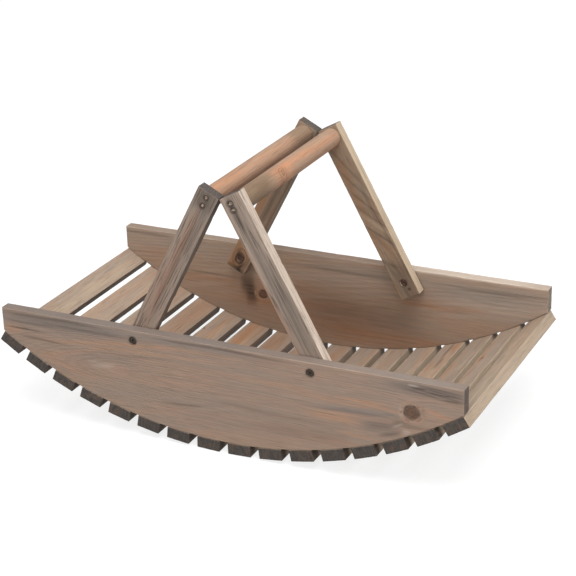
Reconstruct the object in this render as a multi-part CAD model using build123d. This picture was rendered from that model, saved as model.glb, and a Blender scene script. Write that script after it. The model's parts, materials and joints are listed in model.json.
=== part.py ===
from build123d import *
from math import asin, atan2, cos, degrees, hypot, sin
import os

# A wooden trug: two bow-bottomed side boards, battens nailed under their curve, and two hinged
# handles that lean on each other over the tray. Lengths are in millimetres.
# X runs along the boards, Y from the front board to the back board, and Z points up.
# The origin is on the surface that the trug stands on, under its middle.

# Side boards
board_length = 530.0
board_height = 110.0
board_end_height = 27.0
board_thickness = 13.0
board_edge_radius = 0.8
basket_width = 276.0

# Battens under the boards' curve
slat_count = 16
slat_width = 26.5
slat_thickness = 13.0
slat_edge_radius = 0.8
slat_end_setback = 1.5

# Nails that hold the battens: a pair in each end, side by side
slat_nails_per_end = 2
slat_nail_spacing = 12.0
slat_nail_length = 28.0
slat_nail_shank_diameter = 1.6
slat_nail_head_diameter = 3.6
slat_nail_head_thickness = 0.8
slat_nail_sink = 0.4

# Handles: a leg inside each board and a round rod between the legs' upper ends
pivot_spacing = 204.0
pivot_drop = 11.5
leg_above_pivot = 193.5
leg_below_pivot = 18.0
leg_width = 25.0
leg_thickness = 13.0
leg_edge_radius = 0.8
rod_diameter = 22.0
rod_below_leg_top = 12.0
handle_gap = 0.4

# Nails that hold the rods: a pair through each leg, and how far the pair stands to one side
handle_nail_length = 30.0
handle_nail_shank_diameter = 1.8
handle_nail_head_diameter = 3.0
handle_nail_head_thickness = 1.0
handle_nail_sink = 1.0
left_nail_spacing = 10.0
left_nail_offset = 0.0
right_nail_spacing = 7.0
right_nail_offset = 3.0

# Pivots: a bolt from outside the board, screwed into a sleeve nut from inside the leg
bolt_diameter = 4.0
bolt_length = 20.0
bolt_hole_clearance = 0.1
bolt_tip_clearance = 0.4
pivot_head_diameter = 7.8
pivot_head_thickness = 2.4
pivot_head_edge = 0.4
pivot_head_clearance = 0.3
pivot_head_sink = 1.1
socket_width = 2.5
socket_depth = 1.4
slot_width = 1.0
slot_depth = 0.8
sleeve_diameter = 5.6
sleeve_clearance = 0.08
washer_diameter = 12.0
washer_thickness = 1.5
washer_clearance = 0.1
leg_side_clearance = 0.1

# Pointed end of every nail
nail_point_length = 2.5
nail_point_radius = 0.2

# Cutting tools run past the surfaces that they cut
overrun = 1.0

# The bow: the boards' lower edge is one arc
half_length = board_length / 2
half_basket_width = basket_width / 2
bow_rise = board_height - board_end_height
bow_radius = (half_length**2 + bow_rise**2) / (2 * bow_rise)
bow_half_angle = asin(half_length / bow_radius)

# The battens stand at equal steps along the bow, each one flat against it at its middle
end_slat_angle = bow_half_angle - (slat_end_setback + slat_width / 2) / bow_radius
slat_step = 2 * end_slat_angle / (slat_count - 1)

# An even number of battens leaves two at the bottom that tilt apart, and they touch the ground
# at their inner edges
bottom_slat_tilt = slat_step / 2 if slat_count % 2 == 0 else 0
bow_centre_height = (
    (bow_radius + slat_thickness - slat_edge_radius) * cos(bottom_slat_tilt)
    + (slat_width / 2 - slat_edge_radius) * sin(bottom_slat_tilt)
    + slat_edge_radius
)
board_bottom_height = bow_centre_height - bow_radius
board_top_height = board_bottom_height + board_height

# Distances from the middle plane, the same to the front and to the back
board_inner_face = half_basket_width - board_thickness
board_middle = half_basket_width - board_thickness / 2
leg_outer_face = board_inner_face - washer_thickness - leg_side_clearance
leg_inner_face = leg_outer_face - leg_thickness
leg_middle = leg_outer_face - leg_thickness / 2

# Pivots, and the lean that brings the upper corners of the two handles together
pivot_from_middle = pivot_spacing / 2
pivot_height = board_top_height - pivot_drop
leg_corner_reach = hypot(leg_above_pivot, leg_width / 2)
leg_corner_angle = atan2(leg_width / 2, leg_above_pivot)
lean = asin((pivot_from_middle - handle_gap / 2) / leg_corner_reach) - leg_corner_angle
rod_from_pivot = leg_above_pivot - rod_below_leg_top

# Bolt heads and nut heads sit in round recesses
recess_radius = pivot_head_diameter / 2 + pivot_head_clearance
board_recess_depth = pivot_head_sink + pivot_head_thickness
leg_recess_depth = board_recess_depth + leg_side_clearance
bolt_seat = half_basket_width - board_recess_depth
bolt_tip = bolt_seat - bolt_length
nut_face = leg_inner_face + pivot_head_sink
nut_seat = nut_face + pivot_head_thickness

base_centred = (Align.CENTER, Align.CENTER, Align.MIN)


def round_bar(radius, first_y, last_y):
    """A cylinder along Y, between two distances from the middle plane."""
    length = abs(last_y - first_y)
    middle = (first_y + last_y) / 2
    return Pos(0, middle, 0) * Rot(90, 0, 0) * Cylinder(radius, length)


def nail(length, shank_diameter, head_diameter, head_thickness):
    """A nail that stands on the flat of its head at the origin and points up."""
    shank_length = length - head_thickness - nail_point_length
    head = Cylinder(head_diameter / 2, head_thickness, align=base_centred)
    shank = Cylinder(shank_diameter / 2, shank_length, align=base_centred)
    point = Cone(shank_diameter / 2, nail_point_radius, nail_point_length, align=base_centred)
    return head + Pos(0, 0, head_thickness) * shank + Pos(0, 0, head_thickness + shank_length) * point


def nail_well(head_diameter, depth):
    """The round dent over a sunk nail, from the surface at the origin up to the head."""
    return Pos(0, 0, -overrun) * Cylinder(head_diameter / 2, depth + overrun, align=base_centred)


def slat_frame(index):
    """The batten's own frame: its origin is the bow's centre, and the batten lies below it."""
    angle = -end_slat_angle + index * slat_step
    return Pos(0, 0, bow_centre_height) * Rot(0, -degrees(angle), 0)


def slat_nail_places(side):
    """Where the nails of one batten end enter its underside, in the batten's own frame."""
    first_x = -slat_nail_spacing * (slat_nails_per_end - 1) / 2
    underside = -bow_radius - slat_thickness
    return [
        Pos(first_x + number * slat_nail_spacing, side * board_middle, underside)
        for number in range(slat_nails_per_end)
    ]


def slat_nail():
    """One batten nail, its head sunk below the surface at the origin."""
    sizes = (slat_nail_shank_diameter, slat_nail_head_diameter, slat_nail_head_thickness)
    return Pos(0, 0, slat_nail_sink) * nail(slat_nail_length, *sizes)


def slat_nails(side):
    """All the batten nails of one side board, each one a solid of its own."""
    return [
        slat_frame(index) * place * slat_nail()
        for index in range(slat_count)
        for place in slat_nail_places(side)
    ]


def slat(index):
    """One batten, rounded along its length, with its nail holes."""
    blank = Box(slat_width, basket_width, slat_thickness)
    blank = fillet(blank.edges().filter_by(Axis.Y), slat_edge_radius)
    blank = Pos(0, 0, -bow_radius - slat_thickness / 2) * blank
    well = nail_well(slat_nail_head_diameter, slat_nail_sink)
    for side in (-1, 1):
        for place in slat_nail_places(side):
            blank -= place * slat_nail()
            blank -= place * well
    return slat_frame(index) * blank


def board_blank():
    """A side board with no holes, centred on the middle plane."""
    ends_height = board_top_height - board_end_height
    lower_left = (-half_length, ends_height)
    upper_left = (-half_length, board_top_height)
    upper_right = (half_length, board_top_height)
    lower_right = (half_length, ends_height)
    sides = Polyline(lower_left, upper_left, upper_right, lower_right)
    bow = ThreePointArc(lower_right, (0, board_bottom_height), lower_left)
    outline = make_face(Plane.XZ * (sides + bow))
    blank = extrude(outline, board_thickness / 2, both=True)
    rims = blank.faces().filter_by(Axis.Y).edges()
    return fillet(rims, board_edge_radius)


def board(side):
    """The side board at the front, where side is -1, or at the back, where it is 1."""
    shape = Pos(0, side * board_middle, 0) * board_blank()
    bolt_hole = round_bar(
        bolt_diameter / 2 + bolt_hole_clearance,
        side * (board_inner_face - overrun),
        side * (half_basket_width + overrun),
    )
    recess = round_bar(recess_radius, side * bolt_seat, side * (half_basket_width + overrun))
    for end in (-1, 1):
        pivot = Pos(end * pivot_from_middle, 0, pivot_height)
        shape -= pivot * bolt_hole
        shape -= pivot * recess
    for fastener in slat_nails(side):
        shape -= fastener
    return shape


def pivot_bolt(end, side):
    """The bolt of one pivot, its head sunk in the board's outer face."""
    head_face = bolt_seat + pivot_head_thickness
    head = round_bar(pivot_head_diameter / 2, side * bolt_seat, side * head_face)
    outer_rim = head.edges().sort_by(Axis.Y)[-1 if side > 0 else 0]
    head = chamfer(outer_rim, pivot_head_edge)
    socket_face = Plane((0, side * head_face, 0), z_dir=(0, -side, 0))
    socket_outline = RegularPolygon(socket_width / 2, 6, major_radius=False)
    socket = extrude(socket_face * socket_outline, socket_depth)
    shank = round_bar(bolt_diameter / 2, side * bolt_tip, side * bolt_seat)
    return Pos(end * pivot_from_middle, 0, pivot_height) * (head + shank - socket)


def pivot_nut(end, side):
    """The sleeve nut of one pivot: the leg turns on its sleeve, and its head keeps the leg on."""
    head = round_bar(pivot_head_diameter / 2, side * nut_face, side * nut_seat)
    inner_rim = head.edges().sort_by(Axis.Y)[0 if side > 0 else -1]
    head = chamfer(inner_rim, pivot_head_edge)
    slot_middle = nut_face + slot_depth / 2
    slot = Pos(0, side * slot_middle, 0) * Box(pivot_head_diameter, slot_depth, slot_width)
    sleeve = round_bar(sleeve_diameter / 2, side * nut_seat, side * board_inner_face)
    bore_end = bolt_tip - bolt_tip_clearance
    bore = round_bar(bolt_diameter / 2, side * bore_end, side * (board_inner_face + overrun))
    return Pos(end * pivot_from_middle, 0, pivot_height) * (head + sleeve - slot - bore)


def pivot_washer(end, side):
    """The washer that spaces a leg from its board."""
    edges = (side * (board_inner_face - washer_thickness), side * board_inner_face)
    disc = round_bar(washer_diameter / 2, *edges)
    hole = round_bar(sleeve_diameter / 2 + washer_clearance, *edges)
    return Pos(end * pivot_from_middle, 0, pivot_height) * (disc - hole)


def handle_frame(end):
    """A handle's own frame: the pivot axis at the origin and the legs up, leaned to the middle."""
    return Pos(end * pivot_from_middle, 0, pivot_height) * Rot(0, -end * degrees(lean), 0)


def handle_nail(side):
    """One rod nail in a handle's frame, driven in from the leg's outer face."""
    sizes = (handle_nail_shank_diameter, handle_nail_head_diameter, handle_nail_head_thickness)
    upright = Pos(0, 0, handle_nail_sink) * nail(handle_nail_length, *sizes)
    return Pos(0, side * leg_outer_face, 0) * Rot(side * 90, 0, 0) * upright


def handle_nail_places(end):
    """Where the pair of rod nails stands on a leg, in the handle's frame."""
    spacing = left_nail_spacing if end < 0 else right_nail_spacing
    offset = left_nail_offset if end < 0 else -right_nail_offset
    return [Pos(offset, 0, rod_from_pivot + step * spacing / 2) for step in (-1, 1)]


def handle_nails(end):
    """The four rod nails of one handle, each one a solid of its own."""
    return [
        handle_frame(end) * place * handle_nail(side)
        for side in (-1, 1)
        for place in handle_nail_places(end)
    ]


def leg(end, side):
    """One handle leg with its pivot bore and its nail holes."""
    length = leg_above_pivot + leg_below_pivot
    blank = Box(leg_width, leg_thickness, length)
    blank = fillet(blank.edges().filter_by(Axis.Z), leg_edge_radius)
    blank = Pos(0, side * leg_middle, leg_above_pivot - length / 2) * blank
    through = (side * (leg_inner_face - overrun), side * (leg_outer_face + overrun))
    blank -= round_bar(sleeve_diameter / 2 + sleeve_clearance, *through)
    recess_floor = leg_inner_face + leg_recess_depth
    blank -= round_bar(recess_radius, through[0], side * recess_floor)
    well = nail_well(handle_nail_head_diameter, handle_nail_sink)
    well = Pos(0, side * leg_outer_face, 0) * Rot(side * 90, 0, 0) * well
    for place in handle_nail_places(end):
        blank -= place * handle_nail(side)
        blank -= place * well
    return handle_frame(end) * blank


def rod(end):
    """The round rod of one handle, with the holes of its nails."""
    shape = Pos(0, 0, rod_from_pivot) * round_bar(rod_diameter / 2, -leg_inner_face, leg_inner_face)
    for side in (-1, 1):
        for place in handle_nail_places(end):
            shape -= place * handle_nail(side)
    return handle_frame(end) * shape


def save(shape, name):
    """Write one named piece, or a group of alike pieces, to its own file."""
    whole = Compound(children=shape) if isinstance(shape, list) else shape
    export_step(whole, f"parts/{name}.step")


def outward_swing():
    """How far a handle turns outward from rest until its legs meet the end batten, in degrees."""
    corner_x = bow_radius * sin(end_slat_angle) + slat_width / 2 * cos(end_slat_angle)
    corner_drop = bow_radius * cos(end_slat_angle) - slat_width / 2 * sin(end_slat_angle)
    along = corner_x - pivot_from_middle
    down = pivot_height - (bow_centre_height - corner_drop)
    below_level = atan2(down, along) - asin(leg_width / 2 / hypot(along, down))
    return 90 + degrees(lean) + degrees(below_level)


os.makedirs("parts", exist_ok=True)

sides = {"front": -1, "back": 1}
ends = {"left": -1, "right": 1}

for side_name, side in sides.items():
    save(board(side), f"{side_name}_board")
    save(slat_nails(side), f"{side_name}_slat_nails")

for index in range(slat_count):
    save(slat(index), f"slat_{index + 1:02d}")

for end_name, end in ends.items():
    save(rod(end), f"{end_name}_handle_rod")
    save(handle_nails(end), f"{end_name}_handle_nails")
    for side_name, side in sides.items():
        save(leg(end, side), f"{end_name}_handle_{side_name}_leg")
        save(pivot_bolt(end, side), f"{end_name}_{side_name}_pivot_bolt")
        save(pivot_nut(end, side), f"{end_name}_{side_name}_pivot_nut")

washers = [pivot_washer(end, side) for end in ends.values() for side in sides.values()]
save(washers, "pivot_washers")

print(f"bow radius {bow_radius:.2f}, step between battens {degrees(slat_step):.3f} degrees")
print(f"boards' top edge at {board_top_height:.2f}, pivots at {pivot_height:.2f}")
print(f"handles lean {degrees(lean):.2f} degrees and swing out {outward_swing():.2f} degrees")
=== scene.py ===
import json
from dataclasses import dataclass
from math import atan2, cos, hypot, pi, radians, sin, sqrt
from types import SimpleNamespace

import bpy
import numpy as np
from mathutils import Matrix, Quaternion, Vector


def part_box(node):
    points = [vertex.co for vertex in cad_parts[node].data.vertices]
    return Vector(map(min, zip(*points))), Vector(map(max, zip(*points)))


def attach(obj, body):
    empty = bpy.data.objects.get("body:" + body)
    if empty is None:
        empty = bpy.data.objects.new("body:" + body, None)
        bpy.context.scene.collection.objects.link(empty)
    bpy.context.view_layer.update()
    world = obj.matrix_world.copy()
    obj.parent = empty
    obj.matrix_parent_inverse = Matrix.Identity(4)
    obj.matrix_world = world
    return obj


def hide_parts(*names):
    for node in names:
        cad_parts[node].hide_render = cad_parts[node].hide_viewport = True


# A weathered wooden trug. The wooden pieces are meshes of their own, with raised grain, checks,
# knots and worn arrises, and the metal pieces are the frame's own with better materials.
# Lengths are in millimetres until a mesh is made, which is in metres.
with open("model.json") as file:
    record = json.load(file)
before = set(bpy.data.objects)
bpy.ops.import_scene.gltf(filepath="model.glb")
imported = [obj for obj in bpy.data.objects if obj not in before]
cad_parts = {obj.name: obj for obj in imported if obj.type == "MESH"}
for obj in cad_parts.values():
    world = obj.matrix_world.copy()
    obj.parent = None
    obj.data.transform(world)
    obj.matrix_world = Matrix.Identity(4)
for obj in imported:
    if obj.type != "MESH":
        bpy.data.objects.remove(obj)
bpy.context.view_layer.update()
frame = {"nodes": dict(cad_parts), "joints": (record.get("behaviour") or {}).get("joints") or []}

millimetre = 0.001

# Sizes that the frame's boxes don't give
board_end_height = 27.0
slat_width = 26.5
slat_thickness = 13.0
slat_count = 16
leg_width = 25.0
leg_thickness = 13.0

# Fasteners and the holes that they sit in
bolt_hole_radius = 2.1
sleeve_bore_radius = 2.88
recess_radius = 4.2
recess_bevel = 0.35
board_recess_depth = 3.5
leg_recess_depth = 3.6
slat_nail_spacing = 12.0
slat_well_radius = 1.85
slat_well_depth = 0.9
slat_well_bevel = 0.2
handle_well_radius = 1.65
handle_well_depth = 1.3
handle_well_bevel = 0.8
well_lip_depth = 0.1
handle_nail_spacings = {"left": 10.0, "right": 7.0}
handle_nail_offsets = {"left": 0.0, "right": -3.0}

# Mesh spacing: along the grain, across it, and through the thickness
along_step = 3.0
leg_along_step = 2.4
rod_along_step = 2.2
rod_facets = 96
rod_cap_shares = (0.85, 0.65, 0.45, 0.25, 0.1)
across_step = 0.75
board_across_step = 0.85
through_step = 1.0
hole_step = 0.8
knot_step = 1.0
arris_lines = (0.12, 0.42, 0.9, 1.6)
sharp_angle = 38

# How far the finer grid reaches from the middle of a bore, of a nail's well and of a knot
board_bore_reach = 9.0
bore_reach = 8.0
well_reach = 5.0
knot_reach_share = 1.6

# How the surface is worn
arris_radius = 0.8
corner_radius = 0.6
wear_share = 0.3
dent_share = 0.22
chip_share = 0.9
chip_range = (0.62, 0.95)
fibre_depth = 0.05
wave_depth = 0.12
ridge_lead = 0.1
rod_wear_depth = 0.12
check_taper = 0.6
check_wiggle = 0.5
wiggle_width = 2.5
wiggle_margin = 4

# Points this share of the arris radius or less under a face count as on it
face_zone_share = 0.6

# How near to an arris its rubbing starts and is whole. The rods are further from one than that.
rub_range = (1.2, 0.2)
rod_to_arris = 2.0

# How much of the rings' wobble the quick noise adds
quick_wobble_share = 0.2

# Knots: how uneven and long they are, and how they are sunk
far_from_knots = 30.0
knot_uneven_share = 0.05
knot_stretch = 1.1
knot_groove_depth = 0.25
knot_groove_width = 0.7
knot_sink_depth = 0.15
knot_sink_reach = 2

# Stains: how far they sway, the swirl round a knot without a heart, wood darkened at the ends,
# partly a water stain and partly painted shade under the boards, and dirt and painted shade in
# holes
sway_reach = 1.5
swirl_stretch = 1.5
swirl_reach = 1.5
swirl_turns = 1.6
swirl_sway = 0.25
soak_and_shade_sway = 3
soak_and_shade_fade = 5
soak_and_shade_front_share = 0.95
soak_and_shade_back_share = 0.5
hole_dirt_and_shade_share = 0.75

# How square to a direction a normal is where a face, a side or an end begins and is whole
face_range = (-0.2, 0.6)
side_range = (0.5, 0.9)
end_range = (0.45, 0.85)

# The material tells pieces apart by this distance between their grains
piece_stride = 1000.0


# Repeatable noise

word = 0xFFFFFFFF
axis_primes = np.array([73856093, 19349663, 83492791])
seed_prime = 7919
mixing_steps = ((15, 2246822519), (13, 3266489917))
last_shift = 16

# Each kind of noise on a piece: its bumps' size on each axis, and what it adds to the piece's seed
noise_kinds = {
    "wobble": ((150, 45, 45), 0),
    "quick_wobble": ((50, 12, 12), 1),
    "sway": ((60, 30, 30), 5),
    "knot": ((5, 5, 40), 20),
    "fibre": ((16, 1.7, 1.7), 30),
    "wave": ((75, 17, 17), 31),
    "wear": ((40, 25, 9), 40),
    "dent": ((7, 7, 5), 41),
    "chip": ((11, 11, 7), 42),
    "rod_wear": ((55, 14, 14), 50),
    "check": ((22, 1, 1), 60),
}


def random_at(cells, seed):
    """A repeatable random number from -1 to 1 for each whole-number point."""
    mixed = cells @ axis_primes + seed * seed_prime
    for shift, factor in mixing_steps:
        mixed = ((mixed ^ (mixed >> shift)) * factor) & word
    mixed ^= mixed >> last_shift
    return mixed / (word / 2) - 1


def noise(points, kind, seed):
    """Smooth noise from -1 to 1, of one kind, on the piece with that seed."""
    size, added = noise_kinds[kind]
    scaled = points / np.asarray(size, float)
    cell = np.floor(scaled).astype(np.int64)
    share = scaled - cell
    share = share * share * (3 - 2 * share)
    total = np.zeros(len(points))
    for corner in np.ndindex(2, 2, 2):
        weight = np.prod(np.where(corner, share, 1 - share), axis=-1)
        total += weight * random_at(cell + corner, seed + added)
    return total


def smooth_step(value, low, high):
    """0 below low, 1 above high and a smooth rise between them."""
    share = np.clip((value - low) / (high - low), 0, 1)
    return share * share * (3 - 2 * share)


# How a piece of wood grew, and what has happened to it. Places on a piece are (a, b): a runs
# along the grain and b across it. c is the distance from the middle of the thickness.


@dataclass
class Knot:
    """A branch's trace, square to the face, which lifts the rings round it. One without a heart
    is only a swirl in the grain."""
    a: float
    b: float
    radius: float
    lift: float = 3.0
    heart: bool = True
    swirl: float = 0.4
    long_share: float = 3.4
    wide_share: float = 1.7


@dataclass
class Stroke:
    """A soft stain drawn out along the grain, on one face or, with -1, on both.
    A few strokes are painted shade and painted light.
    """
    kind: str
    a: float
    b: float
    length: float
    width: float
    strength: float
    slope: float = 0.0
    face: int = -1


def strokes_of(**rows):
    """Strokes of each kind, from rows with the numbers that follow the kind in a stroke."""
    return tuple(Stroke(kind, *row) for kind in rows for row in rows[kind])


@dataclass
class Check:
    """A crack along the grain in one face, 0 for the outer face and 1 for the inner one."""
    face: int
    start: float
    stop: float
    b: float
    width: float = 0.35
    depth: float = 0.9


@dataclass
class Growth:
    """The growth rings round a pith line, which drifts sideways along the piece. Before dive_from
    it also dives deeper and deeper, which draws the rings out to a nose there. The sides and the
    inner face are darker further than a set distance from the piece's middle: partly a water
    stain and partly painted shade where the boards cover them. The sides' own tone is a stain on
    some pieces and painted shade and painted light on others."""
    pith: tuple
    drift: tuple = (0.0, 0.0)
    dive_from: float = -1000.0
    dive: float = 0.0
    spacing: float = 2.2
    wobble: float = 2.0
    relief: float = 0.12
    knots: tuple = ()
    strokes: tuple = ()
    checks: tuple = ()
    side_stain_and_light: dict = None
    soak_and_shade_from: float = 1000.0
    seed: int = 1


# Kinds of stain; the dark and pale ones also carry painted shade and painted light
stain_and_light_channels = ("grey", "orange", "dark", "pale")
dark_channel = stain_and_light_channels.index("dark")


def ring_number(points, growth):
    """How many growth rings lie between the pith and each point, as a smooth number."""
    a, b, c = points.T
    from_b = b - growth.pith[0] - growth.drift[0] * a
    from_c = c - growth.pith[1] - growth.drift[1] * a
    from_c += growth.dive * np.maximum(0, growth.dive_from - a) ** 2
    radius = np.hypot(from_b, from_c)
    radius += growth.wobble * noise(points, "wobble", growth.seed)
    radius += growth.wobble * quick_wobble_share * noise(points, "quick_wobble", growth.seed)
    rings = radius / growth.spacing
    for knot in growth.knots:
        far_a = (a - knot.a) / (knot.long_share * knot.radius)
        far_b = (b - knot.b) / (knot.wide_share * knot.radius)
        rings += knot.lift * np.exp(-far_a**2 - far_b**2)
    return rings


def knot_distance(points, growth):
    """How far each point lies outside the nearest knot's edge."""
    nearest = np.full(len(points), far_from_knots)
    for number, knot in enumerate(growth.knots):
        if knot.heart:
            uneven = 1 + knot_uneven_share * noise(points, "knot", growth.seed + number)
            away = np.hypot((points[:, 0] - knot.a) / knot_stretch, points[:, 1] - knot.b)
            nearest = np.minimum(nearest, away - knot.radius * uneven)
    return nearest


def stains_and_light(points, normals, growth):
    """The strength of each kind of stain at each point, painted shade and light among them."""
    a, b = points[:, 0], points[:, 1]
    amount = {kind: np.zeros(len(points)) for kind in stain_and_light_channels}
    sway = sway_reach * noise(points, "sway", growth.seed)
    for stroke in growth.strokes:
        from_a = a - stroke.a
        from_b = b - stroke.b - stroke.slope * from_a + sway
        fade = np.exp(-(from_a / stroke.length) ** 4 - (from_b / stroke.width) ** 2)
        if stroke.face >= 0:
            fade *= smooth_step(normals[:, 2] * (1 - 2 * stroke.face), *face_range)
        amount[stroke.kind] += stroke.strength * fade
    for knot in growth.knots:
        if not knot.heart:
            away = np.hypot((a - knot.a) / swirl_stretch, b - knot.b) / knot.radius
            swirl = 0.5 - 0.5 * np.cos(2 * pi * (swirl_turns * away + swirl_sway * sway))
            amount["dark"] += knot.swirl * swirl * np.exp(-((away / swirl_reach) ** 4))
    on_side = smooth_step(abs(normals[:, 1]), *side_range)
    # Sides and undersides darkened beyond a distance from the middle: partly a water stain, partly
    # painted shade where the boards cover the battens
    soak_and_shade = smooth_step(abs(a) + soak_and_shade_sway * sway, growth.soak_and_shade_from - soak_and_shade_fade,
                         growth.soak_and_shade_from + soak_and_shade_fade)
    # The sides' own tone: a stain on the boards, and painted shade and painted light on the battens
    # and legs
    for kind, strength in (growth.side_stain_and_light or {}).items():
        amount[kind] += strength * on_side * (1 - soak_and_shade)
    soak_and_shade *= np.where(a < 0, soak_and_shade_front_share, soak_and_shade_back_share)
    below = smooth_step(-normals[:, 2], *face_range)
    amount["dark"] += soak_and_shade * np.maximum(on_side, below)
    return np.column_stack([np.clip(amount[kind], 0, 1) for kind in stain_and_light_channels])


# Grids and outlines


def lines_between(first, last, step, fixed=(), dense=()):
    """Grid positions about a step apart that pass through the fixed ones. A dense stretch is
    (centre, reach, step)."""
    samples = 129
    stops = sorted({first, last, *(place for place in fixed if first < place < last)})
    found = [first]
    for start, stop in zip(stops, stops[1:]):
        fine = np.linspace(start, stop, samples)
        wanted = np.full(samples, step)
        for centre, reach, small in dense:
            away = np.clip((abs(fine - centre) - reach) / (2 * reach), 0, 1)
            wanted = np.minimum(wanted, small + (step - small) * away)
        density = 1 / wanted
        count = np.concatenate([[0], np.cumsum((density[1:] + density[:-1]) / 2)])
        count *= (stop - start) / (samples - 1)
        pieces = max(1, round(count[-1]))
        found.extend(np.interp(np.linspace(0, count[-1], pieces + 1)[1:], count, fine))
    return np.array(found)


def with_arris_lines(low, high):
    """Fixed grid positions close to the two edges, which follow the rounded arrises."""
    return [low + line for line in arris_lines] + [high - line for line in arris_lines]


def check_lines(growth):
    """Fixed grid positions across the grain, three to each check."""
    return [check.b + side * check.width for check in growth.checks for side in (-1, 0, 1)]


class StraightPlan:
    """The outline of a straight piece, seen square on."""

    def __init__(self, ends, edges):
        self.ends = ends
        self.edges = edges

    def place(self, columns, rows):
        """Where the grid's points lie, with the outline's corners rounded."""
        a, b = np.meshgrid(columns, rows)
        core_a = np.clip(a, self.ends[0] + corner_radius, self.ends[1] - corner_radius)
        core_b = np.clip(b, self.edges[0] + corner_radius, self.edges[1] - corner_radius)
        out_a = a - core_a
        out_b = b - core_b
        reach = np.maximum(np.hypot(out_a, out_b), 1e-9)
        fit = np.where(reach > 1e-8, np.maximum(abs(out_a), abs(out_b)) / reach, 1)
        return core_a + out_a * fit, core_b + out_b * fit

    def inside(self, a, b):
        """How far a point lies inside the outline."""
        half_a = (self.ends[1] - self.ends[0]) / 2 - corner_radius
        half_b = (self.edges[1] - self.edges[0]) / 2 - corner_radius
        out_a = abs(a - sum(self.ends) / 2) - half_a
        out_b = abs(b - sum(self.edges) / 2) - half_b
        beyond = np.hypot(np.maximum(out_a, 0), np.maximum(out_b, 0))
        return corner_radius - beyond - np.minimum(np.maximum(out_a, out_b), 0)


class BowPlan:
    """The outline of a side board: b is 0 at its top edge, and its lower edge is one arc. The
    grid's rows reach to the bow, the lowest of them last_reach from its middle. Columns within
    the margin of an end keep their distance from it."""
    margin = 2.0
    last_reach = 15.0
    longest_step = 6.0

    def __init__(self, half_length, height, end_height):
        self.half_length = half_length
        rise = height - end_height
        self.radius = (half_length**2 + rise**2) / (2 * rise)
        self.centre = self.radius - height
        self.end_height = end_height

    def rows(self, step, fixed, dense):
        """Rows from the lowest part of the bow to the top edge."""
        reach = self.half_length
        below = []
        while reach > self.last_reach:
            slope = reach / sqrt(self.radius**2 - reach**2)
            reach = max(self.last_reach, reach - min(self.longest_step, step / slope))
            below.append(self.centre - sqrt(self.radius**2 - reach**2))
        above = lines_between(-self.end_height, 0, step, fixed, dense)
        return np.concatenate([below[::-1], above])

    def place(self, columns, rows):
        """Where the grid's points lie: level rows, drawn in to the bow's width at their height."""
        a, b = np.meshgrid(columns, rows)
        drop = np.clip(self.centre - b, 0, self.radius)
        reach = np.minimum(self.half_length, np.sqrt(self.radius**2 - drop**2))
        from_edge = self.half_length - abs(a)
        inner = a * (reach - self.margin) / (self.half_length - self.margin)
        outer = np.sign(a) * (reach - from_edge)
        a = np.where(from_edge < self.margin, outer, inner)
        b[0] = self.centre - np.sqrt(self.radius**2 - a[0] ** 2)
        return a, b

    def inside(self, a, b):
        """How far a point lies inside the outline."""
        to_bow = self.radius - np.hypot(a, b - self.centre)
        return np.minimum(np.minimum(-b, self.half_length - abs(a)), to_bow)


# Holes


@dataclass
class Hole:
    """A round hole or recess. rings gives, for each face, the (radius, depth) of the rings round
    its centre from the middle outwards, or None. through is the ring that opens the bore, and
    blend the number of rings that lead back to the grid."""
    a: float
    b: float
    rings: tuple
    through: int = 0
    blend: int = 3
    ragged: float = 0.0
    # dirt darkens a ring round the hole's rim: dirt on the face, and painted shade on a recess's
    # wall
    dirt: float = 0.0
    dirt_and_shade_reach: float = 1.2


def floor_rings(radii, depth):
    """Rings that all lie at one depth."""
    return tuple((radius, depth) for radius in radii)


def square_ring(size):
    """The grid offsets (along, across) of the square ring that far from its centre, in order."""
    side = range(-size, size)
    return (
        [(size, step) for step in side]
        + [(-step, size) for step in side]
        + [(-size, -step) for step in side]
        + [(step, -size) for step in side]
    )


def ring_angle(along, across):
    """The direction that a place on a square ring takes when the ring is made round."""
    if abs(along) >= abs(across):
        return pi / 4 * across / along + (pi if along < 0 else 0)
    return pi / 2 - pi / 4 * along / across + (pi if across < 0 else 0)


def sink_hole(a, b, depth, marks, hole, rings, centre, seed):
    """Draw the grid round one hole of one face, and sink it to the ring's depths."""
    middle_row, middle_column = centre
    last = len(rings) - 1
    for size in range(last + hole.blend + 1):
        for along, across in square_ring(size) if size else [(0, 0)]:
            row, column = middle_row + across, middle_column + along
            if size <= last:
                radius, sunk = rings[size]
                depth[row, column] = sunk
                marks[row, column] = 1
            else:
                radius = rings[last][0] + (size - last) * hole_step
            if not size:
                continue
            angle = ring_angle(along, across)
            uneven = 1 + hole.ragged * sin(3 * angle + seed) * cos(5 * angle + 2 * seed)
            share = max(0, size - last) / (hole.blend + 1)
            round_a = hole.a + radius * uneven * cos(angle)
            round_b = hole.b + radius * uneven * sin(angle)
            a[row, column] += (round_a - a[row, column]) * (1 - share)
            b[row, column] += (round_b - b[row, column]) * (1 - share)


# Timber meshes


def quads_between(first, second):
    """Quads between two closed rows of vertex numbers."""
    return np.column_stack([first, second, np.roll(second, -1), np.roll(first, -1)])


def vertex_normals(points, quads):
    """The outward normal at each vertex."""
    corners = points[quads]
    face_normals = np.cross(corners[:, 2] - corners[:, 0], corners[:, 3] - corners[:, 1])
    normals = np.zeros_like(points)
    for corner in range(4):
        np.add.at(normals, quads[:, corner], face_normals)
    length = np.linalg.norm(normals, axis=1, keepdims=True)
    return normals / np.maximum(length, 1e-12)


def worn_radius(points, seed):
    """The radius of the rounded arris near each point, with wear, small dents and a few chips."""
    chip = smooth_step(noise(points, "chip", seed), *chip_range)
    worn = 1 + wear_share * noise(points, "wear", seed) + dent_share * noise(points, "dent", seed)
    return arris_radius * (worn + chip_share * chip)


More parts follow.
